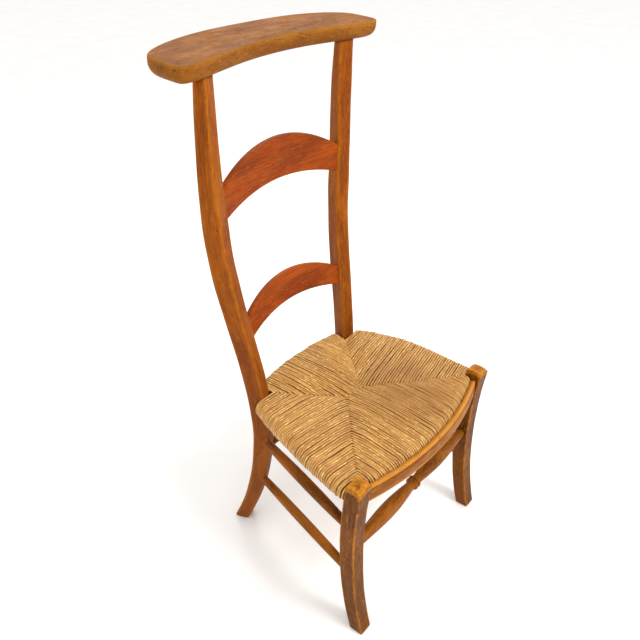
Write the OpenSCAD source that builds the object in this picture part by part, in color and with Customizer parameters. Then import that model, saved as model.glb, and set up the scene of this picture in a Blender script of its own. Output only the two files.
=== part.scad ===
// Kneeling chair with a prayer rest, in millimetres.
// The origin is on the floor under the middle of the chair: +X to the right,
// +Y to the back, +Z up. Left and right are as seen from the front.

/* [Overall] */
// Depth from the front of the trim strip to the back of the prayer rest
chair_depth = 434; // [426:1:442]
// Gap left for glue around every tenon, peg and nail
glue_gap = 0.1; // [0.05:0.05:0.2]

/* [Front legs] */
// Height of the front legs
leg_h = 351; // [348:1:354]
// Distance between the outer faces of the front legs
leg_span = 406; // [398:1:412]
// Side of the square section at the top of a front leg
leg_w = 30; // [28:1:32]
// Side of the section at the foot of a front leg
leg_foot_w = 27; // [24:1:28]
// Front face of a leg at its hollow, measured forward of the middle
leg_front = 187; // [184:1:189]
// Height of the hollow in the front of a leg
leg_hollow_h = 200; // [180:5:220]
// How far the foot kicks forward of the hollow
leg_kick = 22; // [14:1:24]
// How far the top of a leg stands forward of the hollow
leg_brow = 12; // [8:1:14]
// Radius of the domed top of a leg
leg_dome_r = 40; // [32:1:60]

/* [Back posts] */
// Width of a back post
post_w = 28; // [27:1:30]
// Depth of a back post, front to back, at its foot
post_foot_d = 29; // [28:1:31]
// Depth of a back post between the slats
post_mid_d = 35; // [32:1:36]
// Depth of a back post under the prayer rest
post_top_d = 21; // [20:1:26]
// Distance of a post from the middle plane at its waist
post_x = 123; // [118:1:128]
// Distance of a post behind the middle at its waist
post_y = 84; // [82:1:88]
// Height of the waist, where the posts stand furthest forward
waist_h = 281; // [275:1:290]
// How far the foot of a post sweeps out behind the waist
foot_sweep = 67; // [50:1:75]
// How far the foot of a post splays outwards from the waist
foot_splay = 8; // [4:1:12]
// How far the upper part of a post rakes behind the waist
rake = 41; // [35:1:46]
// Height at which the rake ends
rake_h = 660; // [640:5:680]
// How far the top of a post nods forward again
post_nod = 7; // [3:1:9]
// How far the upper part of a post splays outwards
post_splay = 33; // [28:1:36]
// Angle by which the faces of a post turn inwards
post_turn = 20; // [14:1:24]

/* [Prayer rest] */
// Height of the underside of the rest over the posts
rest_h = 903; // [890:1:920]
// Thickness of the rest
rest_t = 27; // [24:1:32]
// Length of the rest from end to end
rest_len = 438; // [430:1:460]
// Width of the rest in the middle
rest_w = 97; // [90:1:105]
// How far the back edge curves forward at the ends
rest_back_sag = 33; // [25:1:40]
// How far the front edge curves forward at the ends
rest_front_sag = 54; // [45:1:60]
// Slope of the rest, rising to the back
rest_tilt = 4.5; // [2:0.5:6]

/* [Back slats] */
// Thickness of a slat
slat_t = 11; // [9:1:13]
// How far a slat bows back between the posts
slat_bow = 15; // [12:1:18]
// Height of the lower edge of the upper slat at the posts
upper_slat_z = 676; // [665:1:690]
// Height of the upper slat at its ends
upper_slat_end = 46; // [40:1:52]
// Rise of the arched top edge of the upper slat
upper_slat_top_rise = 54; // [46:1:58]
// Rise of the arched lower edge of the upper slat
upper_slat_low_rise = 30; // [24:1:34]
// Height of the lower edge of the lower slat at the posts
lower_slat_z = 457; // [448:1:470]
// Height of the lower slat at its ends
lower_slat_end = 35; // [32:1:42]
// Rise of the arched top edge of the lower slat
lower_slat_top_rise = 45; // [38:1:48]
// Rise of the arched lower edge of the lower slat
lower_slat_low_rise = 26; // [20:1:30]
// Diameter of the pegs that lock the slats
peg_d = 5; // [4:0.5:6]

/* [Seat] */
// Height of the middle of the front seat rail
front_rail_z = 320; // [318:1:322]
// Height of the middle of the rear seat rail
rear_rail_z = 336; // [330:1:340]
// Diameter of a seat rail
rail_d = 24; // [23:1:26]
// Thickness of the rush around a rail
rush_t = 6; // [5:0.5:7]
// How far the rush stands proud in the middle of a side
side_bulge = 13; // [6:1:15]
// How far the rush stands proud in the middle of the back
rear_bulge = 14; // [8:1:16]
// Radius of the crown on top of the rush
crown_r = 1900; // [1500:100:2500]
// Height of the bent trim strip on the front of the seat
trim_h = 31; // [26:1:32]
// Thickness of the trim strip
trim_t = 9; // [8:0.5:10]
// How far the trim strip bows forward between the legs
trim_bow = 28; // [20:1:32]
// Diameter of the trim strip's nails
nail_d = 2; // [1.6:0.2:2.4]

/* [Stretchers] */
// Height of the upper side stretchers
upper_stretcher_z = 241; // [236:1:246]
// Height of the lower side stretchers
lower_stretcher_z = 140; // [120:5:160]
// How much lower an upper side stretcher is at the front leg
upper_stretcher_drop = 3; // [0:1:6]
// How much lower a lower side stretcher is at the front leg
lower_stretcher_drop = 9; // [0:1:14]
// Diameter of an upper side stretcher in the middle
upper_stretcher_d = 20; // [18:0.5:22]
// Diameter of a lower side stretcher in the middle
lower_stretcher_d = 18; // [16:0.5:20]
// Height of the front stretcher
front_stretcher_z = 193; // [185:1:200]
// Diameter of the two swellings of the front stretcher
front_swell_d = 28; // [24:1:30]
// Height of the rear stretcher
rear_stretcher_z = 214; // [205:1:222]
// Diameter of the rear stretcher in the middle
rear_stretcher_d = 18; // [16:0.5:20]

/* [Hidden] */

$fn = 96;
curve_steps = 24;
cut = 1000;

// A tenon on a stretcher, and how deep it and a slat run into an upright.
stretcher_tenon_r = 6;
tenon_depth = 13;
// The rail tenons sit off the rail's middle, so that two can meet in one upright.
rail_tenon_r = 5.5;
rail_tenon_shift = 6;
// The round tenon on top of a post.
post_tenon_r = 8;
post_tenon_h = 16;

// The posts splay between these two heights, nod forward above the third and
// grow thinner above the last.
splay_start_h = 240;
splay_end_h = 760;
nod_h = 720;
thin_h = 620;

leg_x = leg_span / 2 - leg_w / 2;
rest_y = post_cy(rest_h);
rush_half = rail_d / 2 + rush_t;
seat_slope = atan((rear_rail_z - front_rail_z) / (post_cy(rear_rail_z) - leg_cy(front_rail_z)));

// The trim strip is bent to an arc through its bow between the legs.
trim_half = leg_span / 2 - leg_w;
trim_r = (trim_half * trim_half + trim_bow * trim_bow) / (2 * trim_bow);
trim_cy = trim_r - chair_depth / 2;
trim_z = front_rail_z - trim_h / 2 - 4;
nail_angles = [-15, -5, 5, 15];
nail_len = 24;
// Thickness of the straw between the two layers of rush.
straw_h = 7;

// Distance of the front face of a front leg from the middle at height z.
function leg_face(z) = z < leg_hollow_h
    ? -leg_front - leg_kick * pow((leg_hollow_h - z) / leg_hollow_h, 2.4)
    : -leg_front - leg_brow * pow((z - leg_hollow_h) / (leg_h - leg_hollow_h), 2);

// Section of a front leg at height z, and the place of its middle.
function leg_side(z) = leg_foot_w + (leg_w - leg_foot_w) * min(1, z / leg_hollow_h);
function leg_cy(z) = leg_face(z) + leg_side(z) / 2;

// A smooth rise from 0 at height a to 1 at height b.
function rise(z, a, b) = (1 - cos(180 * min(1, max(0, (z - a) / (b - a))))) / 2;

// Share of the foot's sweep at height z: 1 on the floor, 0 from the waist upwards.
function foot_share(z) = pow(max(0, (waist_h - z) / waist_h), 2);

// Middle of the right post at height z.
function post_cx(z) = post_x + foot_splay * foot_share(z) + post_splay * rise(z, splay_start_h, splay_end_h);
function post_cy(z) = post_y + foot_sweep * foot_share(z) + rake * rise(z, waist_h, rake_h)
    - post_nod * pow(max(0, (z - nod_h) / (rest_h - nod_h)), 2);

// Depth of a post at height z: thicker between the slats, thinner towards the rest.
function post_deep(z) = post_foot_d + (post_mid_d - post_foot_d) * min(1, max(0, z / lower_slat_z))
    - (post_mid_d - post_top_d) * pow(min(1, max(0, (z - thin_h) / (rest_h - thin_h))), 1.5);

// Signed power, for outlines between an ellipse and a rectangle.
function spow(v, e) = sign(v) * pow(abs(v), e);

// Turned diameter swellings: a sine hump from 0 at both ends to 1 in the middle.
function hump(t) = sin(180 * min(1, max(0, t)));

// A point on the straight line from a to b, moved sideways by off and by a hump.
function edge_point(a, b, t, off, bulge) =
    let (d = b - a, n = [d[1], -d[0]] / norm(d))
    a + d * t + n * (off + bulge * hump(t));

// One upright's side view as a band between its front and back curves.
function band(levels, front, back) = concat(
    [for (i = [0 : len(levels) - 1]) [front[i], levels[i]]],
    [for (i = [len(levels) - 1 : -1 : 0]) [back[i], levels[i]]]
);

// Turns a drawing in the YZ plane into a solid of width w, centred across X.
module across(w) {
    rotate([90, 0, 90])
        linear_extrude(w, center = true)
            children();
}

// Turns a drawing in the XZ plane into a solid that runs through the whole depth.
module along() {
    rotate([90, 0, 0])
        linear_extrude(cut, center = true)
            children();
}

// Stands a turned piece between two points, its own axis running from p to q.
module between(p, q) {
    d = q - p;
    translate(p)
        rotate([0, acos(d[2] / norm(d)), atan2(d[1], d[0])])
            children();
}

// The space above the sloping underside of the prayer rest.
module above_rest() {
    translate([0, rest_y, rest_h])
        rotate([rest_tilt, 0, 0])
            translate([-cut / 2, -cut / 2, 0])
                cube([cut, cut, cut]);
}

// Front leg without its mortises, grown by g on every side.
module leg_blank(g = 0) {
    levels = [for (i = [0 : curve_steps]) leg_h * i / curve_steps];
    side_view = band(
        levels,
        [for (z = levels) leg_face(z) - g],
        [for (z = levels) leg_face(z) + leg_side(z) + g]
    );
    foot = leg_foot_w / 2 + g;
    top = leg_w / 2 + g;
    intersection() {
        translate([leg_x, 0, 0])
            across(2 * leg_w)
                polygon(side_view);
        translate([leg_x, 0, 0])
            along()
                polygon([[-foot, 0], [foot, 0], [top, leg_hollow_h], [top, leg_h],
                         [-top, leg_h], [-top, leg_hollow_h]]);
        translate([leg_x - leg_w / 6, leg_cy(leg_h) + leg_w / 6, leg_h - leg_dome_r])
            union() {
                sphere(leg_dome_r + g);
                translate([0, 0, -cut / 2])
                    cube([4 * leg_w, 6 * leg_w, cut], center = true);
            }
    }
}

// Post without its mortises, grown by g on every side. It is drawn square to its own
// turned faces, once from the side and once from the front.
module post_blank(g = 0) {
    top = rest_h + 2 * post_w;
    levels = [for (i = [0 : 2 * curve_steps]) top * i / (2 * curve_steps)];
    middle_u = [for (z = levels) post_cx(z) * cos(post_turn) - post_cy(z) * sin(post_turn)];
    middle_w = [for (z = levels) post_cx(z) * sin(post_turn) + post_cy(z) * cos(post_turn)];
    count = len(levels) - 1;
    half = post_w / 2 + g;
    difference() {
        rotate([0, 0, -post_turn])
            intersection() {
                across(cut)
                    polygon(band(
                        levels,
                        [for (i = [0 : count]) middle_w[i] - post_deep(levels[i]) / 2 - g],
                        [for (i = [0 : count]) middle_w[i] + post_deep(levels[i]) / 2 + g]
                    ));
                along()
                    polygon(band(
                        levels,
                        [for (i = [0 : count]) middle_u[i] - half],
                        [for (i = [0 : count]) middle_u[i] + half]
                    ));
            }
        above_rest();
    }
}

// Tenon that joins a post to the prayer rest.
module post_tenon(g = 0) {
    z = rest_h - 5;
    translate([post_cx(z), post_cy(z), z])
        cylinder(r = post_tenon_r + g, h = post_tenon_h + 5 + g);
}

// Arched slat with its ends run into the posts, leaning with them, grown by g.
module slat(z, end_h, top_rise, low_rise, g = 0) {
    mid = z + end_h / 2;
    face = post_cx(mid) - post_w / 2;
    reach = face + tenon_depth + g;
    r = (face * face + slat_bow * slat_bow) / (2 * slat_bow);
    lean = atan((post_cy(z + end_h) - post_cy(z)) / end_h);
    steps = [for (i = [0 : curve_steps]) -1 + 2 * i / curve_steps];
    outline = concat(
        [for (s = steps) [s * reach, -end_h / 2 - g + low_rise * (1 - s * s)]],
        [for (s = steps) [-s * reach, end_h / 2 + g + top_rise * (1 - s * s)]]
    );
    // The front of the slat meets the inner front edge of the post.
    translate([0, post_cy(mid) - slat_t / 4, mid])
        rotate([-lean, 0, 0])
            intersection() {
                along()
                    polygon(outline);
                translate([0, slat_bow - r, -end_h])
                    difference() {
                        cylinder(r = r + slat_t / 2 + g, h = 3 * end_h, $fn = 360);
                        translate([0, 0, -1])
                            cylinder(r = r - slat_t / 2 - g, h = 3 * end_h + 2, $fn = 360);
                    }
                translate([-cut / 2, -cut / 4, -cut / 2])
                    cube([cut, cut, cut]);
            }
}

module upper_slat(g = 0) {
    slat(upper_slat_z, upper_slat_end, upper_slat_top_rise, upper_slat_low_rise, g);
}

module lower_slat(g = 0) {
    slat(lower_slat_z, lower_slat_end, lower_slat_top_rise, lower_slat_low_rise, g);
}

// Peg driven in from the back of the right post, through a slat's end at height z.
module peg(z, g = 0) {
    inset = post_w / 4;
    len = post_deep(z) / 2 + inset * (sin(post_turn) + cos(post_turn));
    translate([post_cx(z) - inset, post_cy(z) - inset, z])
        rotate([0, 0, -post_turn])
            rotate([-90, 0, 0])
                cylinder(d = peg_d + 2 * g, h = len + g);
}

module right_pegs(g = 0) {
    peg(upper_slat_z + upper_slat_end / 2, g);
    peg(lower_slat_z + lower_slat_end / 2, g);
}

// Plain turned stretcher, tapering both ways from its middle, tenons included.
module stretcher(p, q, d, g = 0) {
    len = norm(q - p);
    r0 = stretcher_tenon_r;
    shoulder = post_w / 2 - 1;
    span = len - 2 * shoulder;
    profile = concat(
        [[0, shoulder - tenon_depth - g], [r0 + g, shoulder - tenon_depth - g]],
        [for (i = [0 : curve_steps])
            [r0 + 1 + g + (d / 2 - r0 - 1) * pow(hump(i / curve_steps), 0.7),
             shoulder + span * i / curve_steps]],
        [[r0 + g, len - shoulder + tenon_depth + g], [0, len - shoulder + tenon_depth + g]]
    );
    between(p, q)
        rotate_extrude()
            polygon(profile);
}

// Side stretcher on the right, at height z in the post and lower by drop in the leg.
module side_stretcher(z, drop, d, g = 0) {
    low = z - drop;
    stretcher([leg_x, leg_cy(low), low], [post_cx(z), post_cy(z), z], d, g);
}

module upper_side_stretcher(g = 0) {
    side_stretcher(upper_stretcher_z, upper_stretcher_drop, upper_stretcher_d, g);
}

module lower_side_stretcher(g = 0) {
    side_stretcher(lower_stretcher_z, lower_stretcher_drop, lower_stretcher_d, g);
}

module rear_stretcher_blank(g = 0) {
    z = rear_stretcher_z;
    stretcher([-post_cx(z), post_cy(z), z], [post_cx(z), post_cy(z), z], rear_stretcher_d, g);
}

// Front stretcher: a long swelling on each side of a turned ring.
module front_stretcher_blank(g = 0) {
    z = front_stretcher_z;
    r0 = stretcher_tenon_r;
    neck_r = 8.5;
    ring_r = 12.5;
    ring_half = 8;
    face = leg_x - leg_side(z) / 2;
    ring = [for (i = [0 : 12]) let (t = i / 12)
        [neck_r + (ring_r - neck_r) * pow(abs(sin(360 * t)), 0.6), ring_half * (2 * t - 1)]];
    swell = [for (i = [0 : curve_steps]) let (t = i / curve_steps)
        [neck_r + (front_swell_d / 2 - neck_r) * pow(hump(pow(t, 0.85)), 1.3),
         ring_half + 1 + (face - ring_half - 1) * t]];
    half = concat(swell, [[r0 + g, face], [r0 + g, face + tenon_depth + g]]);
    profile = concat(
        [[0, -face - tenon_depth - g]],
        [for (i = [len(half) - 1 : -1 : 0]) [half[i][0], -half[i][1]]],
        ring,
        half,
        [[0, face + tenon_depth + g]]
    );
    between([0, leg_cy(z), z], [1, leg_cy(z), z])
        rotate_extrude()
            polygon(profile);
}

// Round seat rail from p to q with eccentric tenons, shifted up or down.
module rail(p, q, shift, g = 0) {
    len = norm(q - p);
    shoulder = post_w / 2 + 1;
    between(p, q) {
        translate([0, 0, shoulder])
            cylinder(d = rail_d + 2 * g, h = len - 2 * shoulder);
        translate([-shift, 0, shoulder - tenon_depth - g])
            cylinder(r = rail_tenon_r + g, h = len - 2 * shoulder + 2 * tenon_depth + 2 * g);
    }
}

module side_rail(g = 0) {
    zf = front_rail_z;
    zr = rear_rail_z;
    rail([leg_x, leg_cy(zf), zf], [post_cx(zr), post_cy(zr), zr], rail_tenon_shift, g);
}

module rear_rail(g = 0) {
    z = rear_rail_z;
    rail([-post_cx(z), post_cy(z), z], [post_cx(z), post_cy(z), z], -rail_tenon_shift, g);
}

// Front rail, bent to the same arc as the trim strip, with straight tenons.
module front_rail(g = 0) {
    y = leg_cy(front_rail_z);
    face = trim_half - 1;
    out = trim_r - trim_t - rush_t;
    intersection() {
        translate([0, trim_cy, front_rail_z - rail_d / 2 - g])
            difference() {
                cylinder(r = out + g, h = rail_d + 2 * g, $fn = 360);
                translate([0, 0, -1])
                    cylinder(r = out - rail_d * 0.8 - g, h = rail_d + 2 * g + 2, $fn = 360);
            }
        translate([-face, -cut, 0])
            cube([2 * face, cut, cut]);
    }
    for (side = [-1, 1])
        translate([side * (face - rail_d), y, front_rail_z - rail_tenon_shift])
            rotate([0, 90 * side, 0])
                cylinder(r = rail_tenon_r + g, h = rail_d + 1 + tenon_depth + g);
}

// Bent strip that covers the rush on the front rail.
module trim_blank() {
    intersection() {
        translate([0, trim_cy, trim_z])
            difference() {
                cylinder(r = trim_r, h = trim_h, $fn = 360);
                translate([0, 0, -1])
                    cylinder(r = trim_r - trim_t, h = trim_h + 2, $fn = 360);
            }
        translate([-trim_half, -cut, 0])
            cube([2 * trim_half, cut, cut]);
    }
}

// Nails through the trim strip and the rush into the front rail.
module nails(g = 0) {
    for (a = nail_angles)
        translate([0, trim_cy, front_rail_z + 4])
            rotate([0, 90, a - 90])
                translate([0, 0, trim_r - nail_len - g])
                    cylinder(d = nail_d + 2 * g, h = nail_len + g);
}

// Lays a seat layer in the sloping plane of the rails, z measured from their middle.
module seat_plane() {
    translate([0, leg_cy(front_rail_z), front_rail_z])
        rotate([seat_slope, 0, 0])
            translate([0, -leg_cy(front_rail_z), 0])
                children();
}

// Plan of the rush: a bowed front, and sides and back that stand proud of the rails.
// Its corners lie in the middle of the uprights, which are cut out of it.
module rush_plan() {
    front = [leg_x, leg_cy(front_rail_z)];
    rear = [post_cx(rear_rail_z), post_cy(rear_rail_z)];
    arc_r = trim_r - trim_t - glue_gap;
    side_skip = post_w / 2 / norm(rear - front);
    back_skip = post_w / 2 / (2 * rear[0]);
    steps = [for (i = [0 : curve_steps]) i / curve_steps];
    side = [for (t = steps)
        edge_point(front, rear, side_skip + t * (1 - 2 * side_skip), rush_half, side_bulge)];
    back = [for (t = steps) let (u = back_skip + t * (1 - 2 * back_skip))
        [rear[0] * (1 - 2 * u), rear[1] + rush_half + rear_bulge * hump(u)]];
    bow = [for (t = steps) let (x = trim_half * (2 * t - 1)) [x, trim_cy - sqrt(arc_r * arc_r - x * x)]];
    polygon(concat(
        bow,
        [front],
        side,
        [rear],
        back,
        [[-rear[0], rear[1]]],
        [for (i = [curve_steps : -1 : 0]) [-side[i][0], side[i][1]]],
        [[-front[0], front[1]]]
    ));
}

// Straw under the rush, between the four rails, grown by g.
module stuffing(g = 0) {
    front_half = 146 + g;
    rear_half = 92 + g;
    front_y = -150 - g;
    rear_y = 56 + g;
    seat_plane()
        translate([0, 0, -straw_h / 2 - g])
            linear_extrude(straw_h + 2 * g)
                polygon([[-front_half, front_y], [front_half, front_y],
                         [rear_half, rear_y], [-rear_half, rear_y]]);
}

// Copies a right-hand piece to the left.
module mirrored() {
    mirror([1, 0, 0])
        children();
}

// Every seat rail, grown by g, for cutting room in the rush.
module all_rails(g) {
    front_rail(g);
    rear_rail(g);
    side_rail(g);
    mirrored()
        side_rail(g);
}

module right_leg() {
    difference() {
        leg_blank();
        upper_side_stretcher(glue_gap);
        lower_side_stretcher(glue_gap);
        front_stretcher_blank(glue_gap);
        side_rail(glue_gap);
        front_rail(glue_gap);
    }
}

module right_post() {
    difference() {
        union() {
            post_blank();
            post_tenon();
        }
        upper_side_stretcher(glue_gap);
        lower_side_stretcher(glue_gap);
        rear_stretcher_blank(glue_gap);
        side_rail(glue_gap);
        rear_rail(glue_gap);
        upper_slat(glue_gap);
        lower_slat(glue_gap);
        right_pegs(glue_gap);
    }
}

module prayer_rest() {
    half = rest_len / 2;
    back = (chair_depth / 2 - rest_y) / cos(rest_tilt);
    // How far the outline is from a plain ellipse towards a rectangle.
    bluntness = 0.53;
    steps = 4 * curve_steps;
    outline = [for (i = [0 : steps - 1])
        let (a = 360 * i / steps,
             x = half * spow(cos(a), bluntness),
             s = (x / half) * (x / half),
             far = back - rest_back_sag * s,
             near = back - rest_w - rest_front_sag * s)
        [x, (far + near) / 2 + (far - near) / 2 * spow(sin(a), bluntness)]];
    color("peru")
        difference() {
            translate([0, rest_y, rest_h])
                rotate([rest_tilt, 0, 0])
                    linear_extrude(rest_t)
                        polygon(outline);
            post_tenon(glue_gap);
            mirrored()
                post_tenon(glue_gap);
        }
}

module back_post_left() {
    color("chocolate")
        mirrored()
            right_post();
}

module back_post_right() {
    color("chocolate")
        right_post();
}

module front_leg_left() {
    color("sienna")
        mirrored()
            right_leg();
}

module front_leg_right() {
    color("sienna")
        right_leg();
}

module back_slat_upper() {
    color("goldenrod")
        difference() {
            upper_slat();
            right_pegs(glue_gap);
            mirrored()
                right_pegs(glue_gap);
        }
}

module back_slat_lower() {
    color("goldenrod")
        difference() {
            lower_slat();
            right_pegs(glue_gap);
            mirrored()
                right_pegs(glue_gap);
        }
}

module slat_pegs() {
    color("burlywood") {
        right_pegs();
        mirrored()
            right_pegs();
    }
}

module seat_rail_front() {
    color("tan")
        difference() {
            front_rail();
            nails(glue_gap);
        }
}

module seat_rail_rear() {
    color("tan")
        rear_rail();
}

module seat_rail_left() {
    color("tan")
        mirrored()
            side_rail();
}

module seat_rail_right() {
    color("tan")
        side_rail();
}

module side_stretcher_upper_left() {
    color("darkgoldenrod")
        mirrored()
            upper_side_stretcher();
}

module side_stretcher_upper_right() {
    color("darkgoldenrod")
        upper_side_stretcher();
}

module side_stretcher_lower_left() {
    color("darkgoldenrod")
        mirrored()
            lower_side_stretcher();
}

module side_stretcher_lower_right() {
    color("darkgoldenrod")
        lower_side_stretcher();
}

module front_stretcher() {
    color("darkgoldenrod")
        front_stretcher_blank();
}

module rear_stretcher() {
    color("darkgoldenrod")
        rear_stretcher_blank();
}

module trim_strip() {
    color("peru")
        difference() {
            trim_blank();
            nails(glue_gap);
        }
}

module trim_nails() {
    color("silver")
        nails();
}

module rush_seat() {
    room = 0.5;
    color("khaki")
        difference() {
            intersection() {
                seat_plane()
                    translate([0, 0, -rush_half])
                        linear_extrude(2 * rush_half + leg_w)
                            rush_plan();
                seat_plane()
                    translate([0, (leg_cy(front_rail_z) + post_cy(rear_rail_z)) / 2,
                               rush_half + 8 - crown_r])
                        sphere(crown_r, $fn = 360);
            }
            all_rails(room);
            stuffing(room);
            nails(glue_gap);
            leg_blank(room);
            post_blank(room);
            mirrored() {
                leg_blank(room);
                post_blank(room);
            }
        }
}

module seat_stuffing() {
    color("wheat")
        stuffing();
}

prayer_rest();
back_post_left();
back_post_right();
front_leg_left();
front_leg_right();
back_slat_upper();
back_slat_lower();
slat_pegs();
seat_rail_front();
seat_rail_rear();
seat_rail_left();
seat_rail_right();
side_stretcher_upper_left();
side_stretcher_upper_right();
side_stretcher_lower_left();
side_stretcher_lower_right();
front_stretcher();
rear_stretcher();
trim_strip();
trim_nails();
rush_seat();
seat_stuffing();
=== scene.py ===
import math

import bmesh
import bpy
import numpy as np
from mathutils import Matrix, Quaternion, Vector


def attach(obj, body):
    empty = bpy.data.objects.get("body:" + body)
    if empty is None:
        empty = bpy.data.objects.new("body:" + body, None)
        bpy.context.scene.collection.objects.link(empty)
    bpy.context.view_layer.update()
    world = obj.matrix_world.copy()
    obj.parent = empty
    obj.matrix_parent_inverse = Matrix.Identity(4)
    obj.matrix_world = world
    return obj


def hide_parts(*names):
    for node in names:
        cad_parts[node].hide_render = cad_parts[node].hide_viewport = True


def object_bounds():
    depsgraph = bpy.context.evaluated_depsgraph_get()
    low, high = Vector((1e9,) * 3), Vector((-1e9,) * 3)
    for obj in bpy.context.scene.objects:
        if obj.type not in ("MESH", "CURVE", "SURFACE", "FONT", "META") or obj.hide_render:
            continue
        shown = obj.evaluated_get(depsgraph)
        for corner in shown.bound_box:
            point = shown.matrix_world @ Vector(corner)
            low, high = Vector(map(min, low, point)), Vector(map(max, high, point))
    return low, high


# Kneeling chair: old varnished beech frame, prayer rest, hand-woven rush seat.
# Everything is in metres. X runs to the right seen from the front, Y to the back, Z up.

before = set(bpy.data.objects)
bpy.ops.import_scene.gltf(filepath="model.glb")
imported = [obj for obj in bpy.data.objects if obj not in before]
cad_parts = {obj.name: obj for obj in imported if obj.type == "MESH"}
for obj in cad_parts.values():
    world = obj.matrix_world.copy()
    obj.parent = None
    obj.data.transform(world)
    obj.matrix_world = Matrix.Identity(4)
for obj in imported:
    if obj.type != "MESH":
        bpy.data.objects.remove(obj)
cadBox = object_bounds()
random = np.random.default_rng(1907)


cameraLook = {
    "place": (-0.7861, -0.6028, 1.1223),
    "lookAt": (-0.0251, 0.0254, 0.4816),
    "roll": -0.56,  # degrees
    "lens": 38.15,  # mm on a 36 mm sensor
}


def addCamera(look):
    data = bpy.data.cameras.new("camera")
    data.sensor_width = 36
    data.lens = look["lens"]
    data.clip_start = 0.05
    camera = bpy.data.objects.new("camera", data)
    bpy.context.scene.collection.objects.link(camera)
    aim = (Vector(look["lookAt"]) - Vector(look["place"])).to_track_quat("-Z", "Y")
    camera.rotation_mode = "QUATERNION"
    camera.rotation_quaternion = aim @ Quaternion((0, 0, 1), math.radians(look["roll"]))
    camera.location = look["place"]
    bpy.context.scene.camera = camera


addCamera(cameraLook)

studio = {
    "skyColour": (1.0, 0.99, 0.975),
    "skyStrength": 1.05,
    # name, place, aim, side, power, colour
    "lamps": [
        ("lampKey", (0.3, -2.6, 3.1), (0, 0, 0.45), 1.3, 80, (1.0, 0.985, 0.96)),
        ("lampFill", (-2.6, -0.2, 1.6), (0, 0, 0.4), 1.8, 6, (1.0, 0.98, 0.95)),
        ("lampRear", (1.6, 1.9, 2.3), (0, 0, 0.5), 1.4, 16, (1.0, 0.98, 0.96)),
    ],
}


def addStudio(look):
    scene = bpy.context.scene
    scene.view_settings.view_transform = "Standard"
    world = bpy.data.worlds.new("studio")
    world.use_nodes = True
    background = world.node_tree.nodes["Background"]
    background.inputs["Color"].default_value = (*look["skyColour"], 1)
    background.inputs["Strength"].default_value = look["skyStrength"]
    scene.world = world
    for name, place, aim, side, power, colour in look["lamps"]:
        lamp = bpy.data.lights.new(name, "AREA")
        lamp.shape = "DISK"
        lamp.size = side
        lamp.energy = power
        lamp.color = colour
        lampObject = bpy.data.objects.new(name, lamp)
        scene.collection.objects.link(lampObject)
        lampObject.location = place
        turn = (Vector(aim) - Vector(place)).to_track_quat("-Z", "Y")
        lampObject.rotation_euler = turn.to_euler()


addStudio(studio)
print("camera and studio ready")


def newMaterial(name):
    material = bpy.data.materials.new(name)
    material.use_nodes = True
    return material, material.node_tree, material.node_tree.nodes["Principled BSDF"]


def attributeSocket(tree, name, output="Vector"):
    node = tree.nodes.new("ShaderNodeAttribute")
    node.attribute_name = name
    return node.outputs[output]


def objectSocket(tree):
    return tree.nodes.new("ShaderNodeTexCoord").outputs["Object"]


# Coordinates stretched by a factor on each axis, so a noise reads as long streaks.
def stretched(tree, vector, scale, shift=(0, 0, 0)):
    node = tree.nodes.new("ShaderNodeMapping")
    node.inputs["Scale"].default_value = scale
    node.inputs["Location"].default_value = shift
    tree.links.new(vector, node.inputs["Vector"])
    return node.outputs["Vector"]


def noise(tree, vector, scale=1.0, detail=3.0, rough=0.55, twist=0.0):
    node = tree.nodes.new("ShaderNodeTexNoise")
    node.inputs["Scale"].default_value = scale
    node.inputs["Detail"].default_value = detail
    node.inputs["Roughness"].default_value = rough
    node.inputs["Distortion"].default_value = twist
    tree.links.new(vector, node.inputs["Vector"])
    return node.outputs["Fac"]


# A smooth step of a value from 0 at low to 1 at high, or between two other outputs.
def stepped(tree, value, low, high, outLow=0.0, outHigh=1.0):
    node = tree.nodes.new("ShaderNodeMapRange")
    node.interpolation_type = "SMOOTHSTEP"
    for key, number in (("From Min", low), ("From Max", high), ("To Min", outLow), ("To Max", outHigh)):
        node.inputs[key].default_value = number
    tree.links.new(value, node.inputs["Value"])
    return node.outputs["Result"]


def sums(tree, operation, first, second=None, third=None):
    node = tree.nodes.new("ShaderNodeMath")
    node.operation = operation
    for place, item in enumerate((first, second, third)):
        if item is None:
            continue
        if isinstance(item, (int, float)):
            node.inputs[place].default_value = item
        else:
            tree.links.new(item, node.inputs[place])
    return node.outputs["Value"]


def blended(tree, factor, under, over, way="MIX"):
    node = tree.nodes.new("ShaderNodeMix")
    node.data_type = "RGBA"
    node.blend_type = way
    for socket, item in ((node.inputs[0], factor), (node.inputs[6], under), (node.inputs[7], over)):
        if isinstance(item, (int, float)):
            socket.default_value = item
        elif isinstance(item, tuple):
            socket.default_value = (*item, 1)
        else:
            tree.links.new(item, socket)
    return node.outputs[2]


def bumped(tree, height, strength, distance, normal=None):
    node = tree.nodes.new("ShaderNodeBump")
    node.inputs["Strength"].default_value = strength
    node.inputs["Distance"].default_value = distance
    tree.links.new(height, node.inputs["Height"])
    if normal is not None:
        tree.links.new(normal, node.inputs["Normal"])
    return node.outputs["Normal"]


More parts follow.
